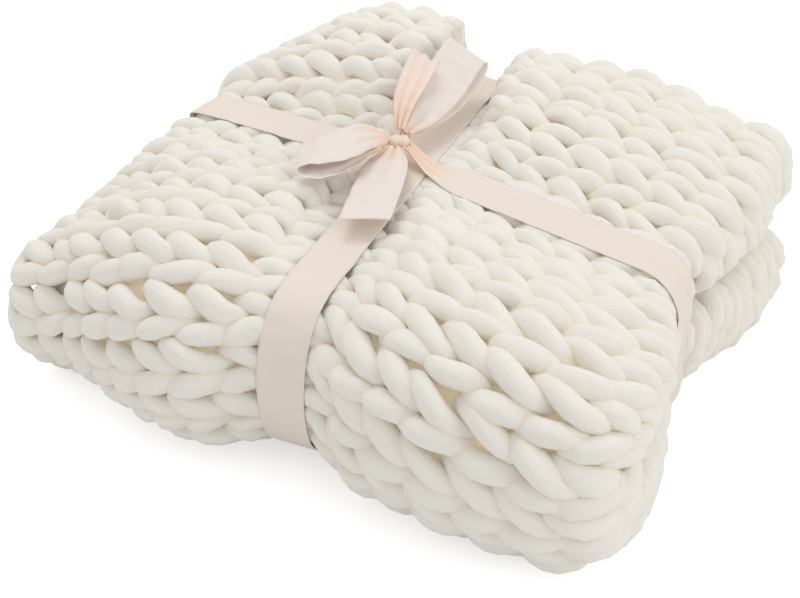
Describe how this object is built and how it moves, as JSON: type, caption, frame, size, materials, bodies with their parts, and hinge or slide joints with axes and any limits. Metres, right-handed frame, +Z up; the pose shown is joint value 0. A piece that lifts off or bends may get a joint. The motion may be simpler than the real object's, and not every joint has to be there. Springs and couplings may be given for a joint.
{
  "type": "folded chunky knit blanket tied with a ribbon",
  "caption": "Thick hand-knit throw folded in quarters into a soft square bundle and tied crosswise with a flat ribbon and a bow.",
  "frame": {"origin": "on the surface the bundle rests on, under the middle of its bounding box", "axes": "+X along the knit's braids, towards the end that shows two fold bulges; -Y towards the one big round fold; +Z up"},
  "size_m": [0.5302, 0.4665, 0.224],
  "materials": {
    "knit": "matte",
    "ribbon": "satin"
  },
  "bodies": {
    "root": {"blanket": "knit", "ribbon_band_y": "ribbon", "ribbon_band_x": "ribbon", "ribbon_knot": "ribbon", "ribbon_loop_left": "ribbon", "ribbon_loop_back": "ribbon", "ribbon_tail_front": "ribbon", "ribbon_tail_back": "ribbon"}
  },
  "joints": []
}
